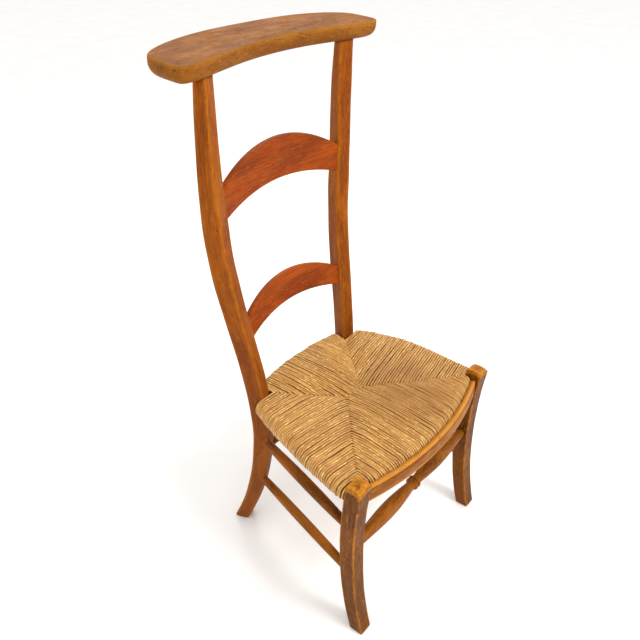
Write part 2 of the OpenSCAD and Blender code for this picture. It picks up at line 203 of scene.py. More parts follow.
# Old varnish over beech. The pattern lives in the "timber" attribute: metres across, through and
# along the grain. Large clouds tint the varnish, long streaks and pores carry the grain, and the
# "rubbed" attribute, 1 on an arris and 0 on a flat, lets worn edges go pale.
def varnishedWood(name, look):
    material, tree, shader = newMaterial(name)
    link = tree.links.new
    timber = attributeSocket(tree, "timber")
    rubbed = attributeSocket(tree, "rubbed", "Fac")

    def pattern(scale, detail, rough, twist=0.0, shift=(0, 0, 0)):
        return noise(tree, stretched(tree, timber, scale, shift), 1, detail, rough, twist)

    clouds = pattern((28, 28, 9), 4, 0.6, 0.4)
    blotches = pattern((95, 95, 45), 4, 0.65, 0.8, (3, 1, 7))
    streaks = pattern((420, 420, 11), 5, 0.6, 0.15)
    fine = pattern((1500, 1500, 60), 2, 0.5, shift=(5, 9, 2))
    pores = stepped(tree, pattern((1900, 1900, 150), 1, 0.5), 0.66, 0.74)
    scratch = stepped(tree, pattern((620, 620, 70), 3, 0.5, 0.8, (1, 4, 8)), 0.63, 0.70)
    nicks = stepped(tree, pattern((160, 160, 110), 2, 0.5, shift=(9, 2, 5)), 0.70, 0.76)
    dirt = stepped(tree, pattern((210, 210, 80), 3, 0.6, shift=(6, 6, 1)), 0.62, 0.78)
    bare = sums(tree, "ADD", sums(tree, "MULTIPLY", rubbed, look["edgeWear"]),
                sums(tree, "MULTIPLY", blotches, 0.55))
    bare = stepped(tree, sums(tree, "ADD", bare, sums(tree, "MULTIPLY", fine, 0.25)), 0.62, 1.05)

    colour = blended(tree, stepped(tree, clouds, 0.34, 0.66), look["deep"], look["honey"])
    # mask, strength, colour laid over
    layers = [
        (stepped(tree, blotches, 0.45, 0.72), look["redness"], look["red"]),
        (stepped(tree, streaks, 0.42, 0.72), look["grain"], look["dark"]),
        (stepped(tree, fine, 0.5, 0.8), look["fineGrain"], look["light"]),
        (pores, look["pores"], look["dark"]),
        (dirt, look["dirt"], look["dark"]),
        (bare, look["bareness"], look["light"]),
        (scratch, look["scratches"], look["light"]),
        (nicks, look["nicks"], look["dark"]),
    ]
    for mask, strength, over in layers:
        colour = blended(tree, sums(tree, "MULTIPLY", mask, strength), colour, over)
    # Painted shade: the wood is darker and browner towards the floor.
    height = tree.nodes.new("ShaderNodeSeparateXYZ")
    link(objectSocket(tree), height.inputs[0])
    low = stepped(tree, height.outputs["Z"], look["shadeLow"], look["shadeHigh"], look["shade"], 0.0)
    colour = blended(tree, low, colour, look["brown"])
    link(colour, shader.inputs["Base Color"])

    gloss = stepped(tree, blotches, 0.3, 0.75, look["gloss"], look["gloss"] + 0.2)
    link(sums(tree, "ADD", gloss, sums(tree, "MULTIPLY", bare, 0.12)), shader.inputs["Roughness"])
    shader.inputs["Specular IOR Level"].default_value = look["shine"]
    shader.inputs["Specular Tint"].default_value = (*look["shineTint"], 1)
    relief = sums(tree, "MULTIPLY", streaks, 0.5)
    for mask, depth in ((fine, 0.25), (pores, -0.5), (nicks, -1.6), (scratch, -0.6)):
        relief = sums(tree, "MULTIPLY_ADD", mask, depth, relief)
    normal = bumped(tree, relief, 0.45, 0.0006)
    normal = bumped(tree, blotches, 0.35, 0.0012, normal)
    link(normal, shader.inputs["Normal"])
    return material


frameLook = {
    "deep": (0.195, 0.036, 0.0014), "honey": (0.340, 0.084, 0.0022), "red": (0.240, 0.040, 0.0014),
    "dark": (0.050, 0.012, 0.002), "light": (0.600, 0.215, 0.020), "brown": (0.110, 0.030, 0.003),
    "redness": 0.55, "grain": 0.50, "fineGrain": 0.35, "pores": 0.45, "dirt": 0.45,
    "edgeWear": 0.44, "bareness": 0.50, "scratches": 0.50, "nicks": 0.6,
    "gloss": 0.46, "shine": 0.16, "shineTint": (1.0, 0.72, 0.42),
    "shadeLow": 0.10, "shadeHigh": 0.72, "shade": 0.45,
}
legFinishLook = dict(
    frameLook, deep=(0.075, 0.019, 0.0012), honey=(0.160, 0.044, 0.0022), red=(0.105, 0.022, 0.0012),
    light=(0.800, 0.310, 0.030), redness=0.4, shadeLow=0.0, shadeHigh=0.30, shade=0.25,
    edgeWear=0.42, bareness=0.75)
trimFinishLook = dict(
    frameLook, deep=(0.200, 0.056, 0.0060), honey=(0.330, 0.115, 0.0140), red=(0.230, 0.058, 0.0050),
    light=(0.640, 0.270, 0.040), shade=0.0, edgeWear=0.60, bareness=0.7)
restLook = dict(
    frameLook, deep=(0.185, 0.056, 0.0050), honey=(0.290, 0.100, 0.0100), red=(0.200, 0.050, 0.0040),
    light=(0.520, 0.220, 0.035), redness=0.5, grain=0.42, edgeWear=0.44, bareness=0.4, gloss=0.58,
    shade=0.0)
slatLook = dict(
    frameLook, deep=(0.205, 0.028, 0.0012), honey=(0.350, 0.058, 0.0018), red=(0.250, 0.026, 0.0010),
    light=(0.520, 0.140, 0.010), redness=0.7, edgeWear=0.32, bareness=0.4, gloss=0.44, shade=0.0)
stretcherLook = dict(
    frameLook, deep=(0.095, 0.026, 0.0025), honey=(0.310, 0.098, 0.0080), dark=(0.030, 0.009, 0.002),
    redness=0.4, dirt=0.9, edgeWear=0.40, bareness=0.7, gloss=0.36, shade=0.0)
bareLook = dict(
    frameLook, deep=(0.36, 0.22, 0.10), honey=(0.52, 0.35, 0.17), red=(0.42, 0.25, 0.11),
    dark=(0.20, 0.11, 0.05), light=(0.62, 0.45, 0.25), gloss=0.62, shade=0.0)
finishes = {
    "frame_wood": varnishedWood("varnishedFrame", frameLook),
    "rest_wood": varnishedWood("varnishedRest", restLook),
    "slat_wood": varnishedWood("varnishedSlat", slatLook),
    "stretcher_wood": varnishedWood("varnishedStretcher", stretcherLook),
    "hidden_wood": varnishedWood("bareBeech", bareLook),
}
legFinish = varnishedWood("varnishedLeg", legFinishLook)
trimFinish = varnishedWood("varnishedTrim", trimFinishLook)
print("wood finishes ready")


# Values raised to a power below 1 with their sign kept, which squares off a circle's turns.
def blunted(values, power):
    return np.sign(values) * np.abs(values) ** power


# Skins closed rings into one mesh. rings is (shells, rows, columns, 3): each shell's rows run from
# one pole to the other and its columns run round. A ring that is a point becomes the pole.
def skinRings(name, rings, attributes, slot, replaces, finish=None):
    shells, rows, columns, _ = rings.shape
    index = np.arange(shells * rows * columns).reshape(shells, rows, columns)
    here, nextRow = index[:, :-1], index[:, 1:]
    quads = np.stack([here, np.roll(here, -1, 2), np.roll(nextRow, -1, 2), nextRow], -1).reshape(-1, 4)
    mesh = bpy.data.meshes.new(name)
    mesh.vertices.add(index.size)
    mesh.vertices.foreach_set("co", rings.reshape(-1).astype(np.float32))
    mesh.loops.add(quads.size)
    mesh.loops.foreach_set("vertex_index", quads.reshape(-1).astype(np.int32))
    mesh.polygons.add(len(quads))
    mesh.polygons.foreach_set("loop_start", np.arange(0, quads.size, 4, dtype=np.int32))
    mesh.polygons.foreach_set("loop_total", np.full(len(quads), 4, dtype=np.int32))
    mesh.update(calc_edges=True)
    for key, values in attributes.items():
        kind = "FLOAT_VECTOR" if values.shape[-1:] == (3,) and values.ndim == 4 else "FLOAT"
        layer = mesh.attributes.new(key, kind, "POINT")
        layer.data.foreach_set("vector" if kind == "FLOAT_VECTOR" else "value",
                               values.reshape(-1).astype(np.float32))
    build = bmesh.new()
    build.from_mesh(mesh)
    bmesh.ops.remove_doubles(build, verts=build.verts, dist=2e-6)
    bmesh.ops.recalc_face_normals(build, faces=build.faces)
    build.to_mesh(mesh)
    build.free()
    mesh.polygons.foreach_set("use_smooth", np.ones(len(mesh.polygons), dtype=bool))
    piece = bpy.data.objects.new(name, mesh)
    bpy.context.scene.collection.objects.link(piece)
    mesh.materials.append(finish or finishes[slot])
    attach(piece, "root")
    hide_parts(*replaces)
    return piece


# Round the outline of a rectangle with quarter-circle corners, as (rows, columns, 2), together with
# how near each point is to an arris: 1 on the corner, falling away over a few millimetres.
def roundedOutline(halfWide, halfDeep, corner, perCorner=6, perSide=5, wearReach=0.0045):
    halfWide, halfDeep, corner = (np.atleast_1d(a).astype(float) for a in (halfWide, halfDeep, corner))
    halfWide, halfDeep, corner = np.broadcast_arrays(halfWide, halfDeep, corner)
    sign = np.array([[1, 1], [-1, 1], [-1, -1], [1, -1]])
    turn = np.radians(np.arange(4)[:, None] * 90 + np.linspace(0, 90, perCorner))
    middle = np.stack([halfWide - corner, halfDeep - corner], -1)[:, None, None] * sign[:, None]
    arcs = middle + corner[:, None, None, None] * np.stack([np.cos(turn), np.sin(turn)], -1)
    share = (1 - np.cos(np.linspace(0, math.pi, perSide + 2)[1:-1])) / 2
    start, end = arcs[:, :, -1:], np.roll(arcs, -1, 1)[:, :, :1]
    flats = start + (end - start) * share[:, None]
    outline = np.concatenate([arcs, flats], 2)
    length = np.linalg.norm(end - start, axis=-1)
    fromArris = np.minimum(share, 1 - share) * length
    near = np.concatenate([np.ones(arcs.shape[:3]) - 0.25 * np.abs(np.linspace(-1, 1, perCorner)),
                           0.75 * np.exp(-fromArris / wearReach)], 2)
    rows = len(halfWide)
    return outline.reshape(rows, -1, 2), near.reshape(rows, -1)


# A slow wander of a few sine waves, for work that was shaped by hand.
def wander(along, size, waves=(3.1, 7.3, 13.7)):
    phases = random.uniform(0, 2 * math.pi, len(waves))
    return size * sum(np.sin(along * wave + phase) for wave, phase in zip(waves, phases)) / len(waves)


# How an end is closed: the steps round its arris, how far each ring of the flat is drawn in, and
# the wear of every ring.
capShape = {"steps": 4, "fills": (0.66, 0.33, 0.0), "wear": (1, 1, 1, 0.9, 0.3, 0.2, 0.2)}
capRows = capShape["steps"] + len(capShape["fills"])


# Rings that close an end: an arris of the given radius, then the flat drawn in to its middle.
def endRings(ring, axis, radius):
    middle = ring.mean(0)
    out = ring - middle
    reach = np.linalg.norm(out, axis=1, keepdims=True)
    turns = np.linspace(0, math.pi / 2, capShape["steps"] + 1)[1:, None, None]
    rounded = (middle + out * (1 - radius * (1 - np.cos(turns)) / reach)
               + np.asarray(axis) * radius * np.sin(turns))
    level = rounded[-1].mean(0)
    fills = np.array(capShape["fills"])[:, None, None]
    return np.concatenate([rounded, level + (rounded[-1] - level) * fills])


# Sections (rows, columns, 2) carried along a path, closed with rounded arrises at both ends. Returns
# rings, grain coordinates and wear, ready for skinRings.
def carried(middle, across, through, along, outline, near, arris, grainSeed):
    rings = (middle[:, None] + across[:, None] * outline[..., :1] + through[:, None] * outline[..., 1:])
    startAxis = middle[0] - middle[1]
    endAxis = middle[-1] - middle[-2]
    startCap = endRings(rings[0], startAxis / np.linalg.norm(startAxis), arris)[::-1]
    endCap = endRings(rings[-1], endAxis / np.linalg.norm(endAxis), arris)
    grain = np.concatenate([outline, np.broadcast_to(along[:, None, None], outline.shape[:2] + (1,))], -1)
    shrink = np.array([1] * capShape["steps"] + list(capShape["fills"]))[:, None, None]
    shrink = np.concatenate([shrink, shrink, np.ones_like(shrink)], -1)
    startGrain = (grain[0] * shrink)[::-1]
    endGrain = grain[-1] * shrink
    wearCap = np.array(capShape["wear"])[:, None] * np.ones(outline.shape[1])
    allRings = np.concatenate([startCap, rings, endCap])
    allGrain = np.concatenate([startGrain, grain, endGrain]) + np.asarray(grainSeed)
    allNear = np.concatenate([wearCap[::-1], near, wearCap])
    return allRings[None], allGrain[None], allNear[None]


legLook = {
    "halfSpan": 0.188, "side": 0.030, "footSide": 0.027, "front": 0.187, "hollowHeight": 0.200,
    "kick": 0.022, "kickPower": 2.4, "brow": 0.012, "height": 0.351, "domeRadius": 0.040,
    "corner": 0.17,  # arris radius as a share of half the section
    "footArris": 0.0022, "rimHeight": 0.340, "rimDrop": 0.0012, "crownDrop": 0.0004, "uneven": 0.012,
    "crownDraws": (0.965, 0.92, 0.8, 0.6, 0.4, 0.2, 0.0),  # how far each ring of the dome is drawn in
}


# Front face of a leg at height z: it hollows at mid height, kicks out at the foot and stands
# forward again at the top.
def legFace(z):
    hollow, look = legLook["hollowHeight"], legLook
    low = np.clip((hollow - z) / hollow, 0, 1) ** look["kickPower"]
    high = np.clip((z - hollow) / (look["height"] - hollow), 0, 1) ** 2
    return -look["front"] - look["kick"] * low - look["brow"] * high


def legSide(z):
    look = legLook
    return look["footSide"] + (look["side"] - look["footSide"]) * np.minimum(1, z / look["hollowHeight"])


def legMiddle(z):
    return legFace(z) + legSide(z) / 2


# A leg is a rounded square carried up a curved centre line, and its top is a dome cut from a ball
# whose centre lies towards the back and the inside, so the outer front corner is the lowest.
def frontLeg(name, side, seed):
    look = legLook
    unit, near = roundedOutline(1, 1, look["corner"], 7, 6, 0.25)
    unit, near = unit[0], near[0]
    ball = np.array([look["halfSpan"] - look["side"] / 6, legMiddle(look["height"]) + look["side"] / 6,
                     look["height"] - look["domeRadius"]])

    def dome(x, y):
        return ball[2] + np.sqrt(look["domeRadius"] ** 2 - (x - ball[0]) ** 2 - (y - ball[1]) ** 2)

    rimX = look["halfSpan"] + unit[:, 0] * look["side"] / 2
    rimY = legMiddle(look["rimHeight"]) + unit[:, 1] * look["side"] / 2
    share = np.linspace(look["footArris"] / look["height"], 1, 70)[:, None]
    z = share * dome(rimX, rimY)
    z[-1] -= look["rimDrop"]
    half = legSide(z) / 2 * (1 + wander(z * 9, look["uneven"]))
    body = np.stack([look["halfSpan"] + unit[:, 0] * half, legMiddle(z) + unit[:, 1] * half, z], -1)
    foot = endRings(body[0], (0, 0, -1), look["footArris"])[::-1]
    middle = body[-1][:, :2].mean(0)
    draws = np.array(look["crownDraws"])[:, None]
    crown = middle + (body[-1][None, :, :2] - middle) * draws[..., None]
    crownZ = dome(crown[..., 0], crown[..., 1])
    crownZ[0] -= look["crownDrop"]
    crown = np.concatenate([crown, crownZ[..., None]], -1)
    rings = np.concatenate([foot, body, crown])
    wear = np.concatenate([np.full((len(foot), len(near)), 0.8), np.tile(near, (len(body), 1)),
                           (0.95 + 0.50 * draws ** 3) * np.ones(len(near))])
    rim = len(foot) + len(body)
    wear[rim - 2:rim + 2] = 1
    grain = np.stack([rings[..., 0] - look["halfSpan"], rings[..., 1] - legMiddle(rings[..., 2]),
                      rings[..., 2]], -1) + np.array(seed)
    rings[..., 0] *= side
    return skinRings(name, rings[None], {"timber": grain[None], "rubbed": wear[None]}, "frame_wood",
                     ["front_leg_left" if side < 0 else "front_leg_right"], legFinish)


frontLeg("frontLegLeft", -1, (0.31, 0.12, 0.4))
frontLeg("frontLegRight", 1, (0.77, 0.52, 1.9))
print("front legs ready")


postLook = {
    "width": 0.028, "footDeep": 0.029, "midDeep": 0.035, "topDeep": 0.021, "fullHeight": 0.457,
    "waistX": 0.123, "waistY": 0.084, "waistHeight": 0.281, "footSweep": 0.067, "footSplay": 0.008,
    "rake": 0.041, "rakeHeight": 0.660, "nod": 0.007, "nodHeight": 0.720,
    "splay": 0.033, "splayStart": 0.240, "splayEnd": 0.760, "thinHeight": 0.620,
    "topHeight": 0.903, "topSlope": 4.5,  # degrees
    "turn": 20, "corner": 0.0052, "cornerUneven": 0.0012, "uneven": 0.0004,
    "footArris": 0.0022, "intoRest": 0.0008,
}


# A smooth rise from 0 at height a to 1 at height b.
def riseBetween(z, a, b):
    return (1 - np.cos(math.pi * np.clip((z - a) / (b - a), 0, 1))) / 2


# Middle of a post: it sweeps out below the waist, rakes back and splays above it, and nods
# forward again at the very top.
def postMiddle(z):
    look = postLook
    foot = np.clip((look["waistHeight"] - z) / look["waistHeight"], 0, 1) ** 2
    nod = np.clip((z - look["nodHeight"]) / (look["topHeight"] - look["nodHeight"]), 0, 1) ** 2
    x = (look["waistX"] + look["footSplay"] * foot
         + look["splay"] * riseBetween(z, look["splayStart"], look["splayEnd"]))
    y = (look["waistY"] + look["footSweep"] * foot - look["nod"] * nod
         + look["rake"] * riseBetween(z, look["waistHeight"], look["rakeHeight"]))
    return x, y


# Depth of a post: it grows up to the lower slat and thins away towards the rest.
def postDeep(z):
    look = postLook
    grown = np.clip(z / look["fullHeight"], 0, 1)
    thin = np.clip((z - look["thinHeight"]) / (look["topHeight"] - look["thinHeight"]), 0, 1) ** 1.5
    return (look["footDeep"] + (look["midDeep"] - look["footDeep"]) * grown
            - (look["midDeep"] - look["topDeep"]) * thin)


restPlace = float(postMiddle(postLook["topHeight"])[1])


# A post is a rounded oblong carried up its centre line, its faces turned inwards. The top ring
# lies in the sloping underside of the rest.
def backPost(name, side, seed):
    look = postLook
    z = np.linspace(look["footArris"], look["topHeight"], 110)
    x, y = postMiddle(z)
    turn = math.radians(look["turn"])
    middle = np.stack([x, y, z], -1)
    across = np.tile([math.cos(turn), -math.sin(turn), 0], (len(z), 1))
    through = np.tile([math.sin(turn), math.cos(turn), 0], (len(z), 1))
    softened = look["corner"] + wander(z * 5, look["cornerUneven"])
    halfWide = look["width"] / 2 + wander(z * 3, look["uneven"])
    halfDeep = postDeep(z) / 2 + wander(z * 4, look["uneven"])
    outline, near = roundedOutline(halfWide, halfDeep, softened, 7, 6)
    rings, grain, wear = carried(middle, across, through, z, outline, near, look["footArris"], seed)
    slope = math.tan(math.radians(look["topSlope"]))
    topRows = rings[:, -capRows - 1:]
    topRows[..., 2] = look["topHeight"] + (topRows[..., 1] - restPlace) * slope + look["intoRest"]
    rings[..., 0] *= side
    return skinRings(name, rings, {"timber": grain, "rubbed": wear}, "frame_wood",
                     ["back_post_left" if side < 0 else "back_post_right"])


backPost("backPostLeft", -1, (0.21, 0.47, 3.1))
backPost("backPostRight", 1, (0.93, 0.18, 5.2))
print("back posts ready")


restShape = {
    "height": postLook["topHeight"], "tilt": postLook["topSlope"], "thickness": 0.027, "length": 0.438,
    "width": 0.097, "backSag": 0.033, "frontSag": 0.054, "bluntness": 0.53, "topArris": 0.0028,
    "bullnose": 0.0135, "endNose": 0.35, "uneven": 0.0006,
    "draws": (0.94, 0.85, 0.7, 0.55, 0.4, 0.25, 0.12, 0.0),  # how far each flat ring is drawn in
}


# The rest is drawn from its outline: a blunt oval bent forward at both ends. Rings run from a
# spine along the top, out to a small arris, down the edge, round a bullnose and back to a spine
# along the underside.
def prayerRest():
    look = restShape
    halfLength = look["length"] / 2
    turn = np.linspace(0, 2 * math.pi, 240, endpoint=False)
    tilt = math.radians(look["tilt"])
    back = (float(cadBox[1][1]) - restPlace) / math.cos(tilt)
    x = halfLength * blunted(np.cos(turn), look["bluntness"])
    s = (x / halfLength) ** 2
    far = back - look["backSag"] * s
    nearEdge = back - look["width"] - look["frontSag"] * s
    y = (far + nearEdge) / 2 + (far - nearEdge) / 2 * blunted(np.sin(turn), look["bluntness"])
    # Even steps round the outline, so the rings are even too.
    loop = np.stack([x, y], -1)
    closed = np.vstack([loop, loop[:1]])
    walk = np.concatenate([[0], np.cumsum(np.linalg.norm(np.diff(closed, axis=0), axis=1))])
    even = np.linspace(0, walk[-1], 200, endpoint=False)
    loop = np.stack([np.interp(even, walk, closed[:, 0]), np.interp(even, walk, closed[:, 1])], -1)
    ahead = np.roll(loop, -1, 0) - np.roll(loop, 1, 0)
    inward = np.stack([-ahead[:, 1], ahead[:, 0]], -1) / np.linalg.norm(ahead, axis=1, keepdims=True)
    # The ends curve under more than the long edges do.
    atEnd = np.abs(loop[:, 0] / halfLength) ** 6
    nose = look["bullnose"] * (1 + look["endNose"] * atEnd)
    small = look["topArris"]
    top = look["thickness"]
    rings, wears = [], []
    for angle in np.radians([90, 67.5, 45, 22.5, 0]):
        inset = small * (1 - math.cos(angle))
        level = np.full(len(loop), top - small + small * math.sin(angle))
        rings.append(np.column_stack([loop + inward * inset, level]))
        wears.append(np.full(len(loop), 1.0))
    for angle in np.radians(np.arange(0, 91, 11.25)):
        inset = nose * (1 - math.cos(angle))
        height = nose * (1 - math.sin(angle))
        rings.append(np.column_stack([loop + inward * inset[:, None], height]))
        wears.append(np.full(len(loop), 0.25 + 0.35 * math.sin(2 * angle)))

    def towardsSpine(ring, share):
        xs = ring[:, 0] * (1 - 0.12 * (1 - share))
        ss = (xs / halfLength) ** 2
        spineY = back - look["width"] / 2 - (look["backSag"] + look["frontSag"]) / 2 * ss
        return np.column_stack([xs, spineY + (ring[:, 1] - spineY) * share, ring[:, 2]])

    topRings = [towardsSpine(rings[0], share) for share in look["draws"]][::-1]
    lowRings = [towardsSpine(rings[-1], share) for share in look["draws"]]
    topWears = [np.full(len(loop), 0.9 * math.exp(-(1 - share) * 9)) for share in look["draws"]][::-1]
    wears = topWears + wears + [np.zeros(len(loop))] * len(look["draws"])
    flat = np.array(topRings + rings + lowRings)
    # Years of elbows have left the top a little uneven.
    crown = look["uneven"] * (np.sin(flat[..., 0] * 23 + 1) * np.sin(flat[..., 1] * 40) - 1)
    flat[..., 2] += crown * (flat[..., 2] > top * 0.9)
    grain = np.stack([flat[..., 1], flat[..., 2], flat[..., 0]], -1) + np.array([0.4, 0.8, 7.7])
    placed = np.stack([flat[..., 0],
                       restPlace + flat[..., 1] * math.cos(tilt) - flat[..., 2] * math.sin(tilt),
                       look["height"] + flat[..., 1] * math.sin(tilt) + flat[..., 2] * math.cos(tilt)], -1)
    wear = np.array(wears)
    return skinRings("prayerRestBoard", placed[None], {"timber": grain[None], "rubbed": wear[None]},
                     "rest_wood", ["prayer_rest"])


prayerRest()
print("prayer rest ready")


slatShape = {
    "thickness": 0.011, "bow": 0.015, "corner": 0.0026, "intoPost": 0.008, "pastFace": 0.013,
    "endArris": 0.001,
    "upper": {"low": 0.676, "end": 0.046, "topRise": 0.054, "lowRise": 0.030},
    "lower": {"low": postLook["fullHeight"], "end": 0.035, "topRise": 0.045, "lowRise": 0.026},
}


# A slat is a thin rounded section carried along an arc in plan. Its height at each step lies
# between two parabolas, and the whole leans with the posts.
def backSlat(name, node, shape, seed):
    look = slatShape
    mid = shape["low"] + shape["end"] / 2
    midX, midY = (float(v) for v in postMiddle(mid))
    face = midX - postLook["width"] / 2
    reach = face + look["intoPost"]
    radius = (face ** 2 + look["bow"] ** 2) / (2 * look["bow"])
    raked = float(postMiddle(shape["low"] + shape["end"])[1] - postMiddle(shape["low"])[1])
    lean = math.atan(raked / shape["end"])
    x = np.linspace(-reach, reach, 90)
    s = x / (face + look["pastFace"])
    low = -shape["end"] / 2 + shape["lowRise"] * (1 - s ** 2)
    high = shape["end"] / 2 + shape["topRise"] * (1 - s ** 2)
    angle = np.arcsin(x / radius)
    y = look["bow"] - radius + radius * np.cos(angle)
    middle = np.stack([x, y, (low + high) / 2], -1)
    across = np.tile([0, 0, 1.0], (len(x), 1))
    through = np.stack([np.sin(angle), np.cos(angle), 0 * x], -1)
    outline, near = roundedOutline((high - low) / 2, look["thickness"] / 2, look["corner"], 5, 9)
    rings, grain, wear = carried(middle, across, through, x, outline, near, look["endArris"], seed)
    # The grain runs straight across the board, while the edges are sawn to a curve.
    grain[..., 0] += np.interp(grain[..., 2] - seed[2], x, (low + high) / 2)
    y, z = rings[..., 1].copy(), rings[..., 2].copy()
    rings[..., 1] = midY - look["thickness"] / 4 + y * math.cos(lean) + z * math.sin(lean)
    rings[..., 2] = mid - y * math.sin(lean) + z * math.cos(lean)
    return skinRings(name, rings, {"timber": grain, "rubbed": wear}, "slat_wood", [node])


backSlat("backSlatUpper", "back_slat_upper", slatShape["upper"], (0.15, 0.95, 9.4))
backSlat("backSlatLower", "back_slat_lower", slatShape["lower"], (0.65, 0.35, 11.6))
print("back slats ready")


# A turned bar between two points: a circle of changing radius carried along a straight line,
# very slightly out of round, whose ends run on into the mortises.
def turnedBar(name, node, start, end, place, radius, seed, columns=28):
    start, end = np.array(start, float), np.array(end, float)
    axis = (end - start) / np.linalg.norm(end - start)
    level = np.cross(axis, [0, 0, 1.0])
    level /= np.linalg.norm(level)
    up = np.cross(level, axis)
    turn = np.linspace(0, 2 * math.pi, columns, endpoint=False)
    oval = radius[:, None] * (1 + 0.012 * np.sin(2 * turn + 1) + 0.006 * np.sin(3 * turn))
    u, v = oval * np.cos(turn), oval * np.sin(turn)
    rings = (start + axis * place[:, None])[:, None] + level * u[..., None] + up * v[..., None]
    rings = np.concatenate([rings[:1].mean(1, keepdims=True) + 0 * rings[:1], rings,
                            rings[-1:].mean(1, keepdims=True) + 0 * rings[-1:]])
    grain = np.stack([u, v, np.broadcast_to(place[:, None], u.shape)], -1)
    grain = np.concatenate([grain[:1], grain, grain[-1:]]) + np.array(seed)
    proud = (radius - radius.min()) / max(1e-6, radius.max() - radius.min())
    wear = 0.15 + 0.6 * proud[:, None] ** 2 * (0.6 + 0.4 * np.sin(turn + 0.6))
    wear = np.concatenate([wear[:1], wear, wear[-1:]])
    return skinRings(name, rings[None], {"timber": grain[None], "rubbed": wear[None]},
                     "stretcher_wood", [node])


stretcherShape = {
    "endRadius": 0.007, "hiddenEnd": 0.006, "shoulder": 0.014,
    # height in the post, drop towards the front leg, diameter
    "upper": (0.241, 0.003, 0.020), "lower": (0.140, 0.009, 0.018), "rear": (0.214, 0.0, 0.018),
    "front": {"height": 0.193, "swell": 0.028, "neck": 0.0085, "ring": 0.0125, "ringHalf": 0.008,
              "ringGap": 0.001},
}


# The plain ones swell by a flattened sine from each end to the middle.
def plainBar(name, node, start, end, diameter, seed):
    look = stretcherShape
    length = float(np.linalg.norm(np.subtract(end, start)))
    place = np.linspace(look["hiddenEnd"], length - look["hiddenEnd"], 70)
    share = np.clip((place - look["shoulder"]) / (length - 2 * look["shoulder"]), 0, 1)
    radius = look["endRadius"] + (diameter / 2 - look["endRadius"]) * np.sin(math.pi * share) ** 0.7
    return turnedBar(name, node, start, end, place, radius, seed)


for side, word in ((-1, "Left"), (1, "Right")):
    for level in ("upper", "lower"):
        height, drop, diameter = stretcherShape[level]
        postX, postY = (float(v) for v in postMiddle(height))
        legEnd = (side * legLook["halfSpan"], float(legMiddle(height - drop)), height - drop)
        plainBar(f"sideStretcher{level.capitalize()}{word}", f"side_stretcher_{level}_{word.lower()}",
                 legEnd, (side * postX, postY, height), diameter,
                 (0.1 + side * 0.3, height, 13 + 2 * height * side))
height, _, diameter = stretcherShape["rear"]
postX, postY = (float(v) for v in postMiddle(height))
plainBar("rearStretcherBar", "rear_stretcher", (-postX, postY, height), (postX, postY, height),
         diameter, (0.5, 0.2, 17.3))


# The front one has a long swelling on each side of a turned ring with a bead on each side of it.
def frontBar():
    look = stretcherShape["front"]
    face = legLook["halfSpan"] - float(legSide(look["height"])) / 2
    t = np.linspace(0, 1, 50)
    swell = look["neck"] + (look["swell"] / 2 - look["neck"]) * np.sin(math.pi * t ** 0.85) ** 1.3
    first = look["ringHalf"] + look["ringGap"]
    place = np.append(first + (face - first) * t, face + stretcherShape["hiddenEnd"])
    swell = np.append(swell, stretcherShape["endRadius"])
    ringT = np.linspace(0, 1, 33)
    beads = look["neck"] + (look["ring"] - look["neck"]) * np.abs(np.sin(2 * math.pi * ringT)) ** 0.6
    ringPlace = look["ringHalf"] * (2 * ringT - 1)
    allPlace = np.concatenate([-place[::-1], ringPlace, place])
    allRadius = np.concatenate([swell[::-1], beads, swell])
    y, z = float(legMiddle(look["height"])), look["height"]
    return turnedBar("frontStretcherBar", "front_stretcher", (0, y, z), (1, y, z), allPlace, allRadius,
                     (0.27, 0.66, 19.1), 36)


frontBar()
print("stretchers ready")


trimLook = {
    "half": 0.173, "bow": 0.028, "height": 0.031, "thickness": 0.009, "low": 0.3005,
    "quirk": 0.0075,  # how far below the top edge the scratched line runs
    "lowArris": 0.003,
    "frontY": float(cadBox[0][1]),
}
trimRadius = (trimLook["half"] ** 2 + trimLook["bow"] ** 2) / (2 * trimLook["bow"])
trimMiddle = trimRadius + trimLook["frontY"]


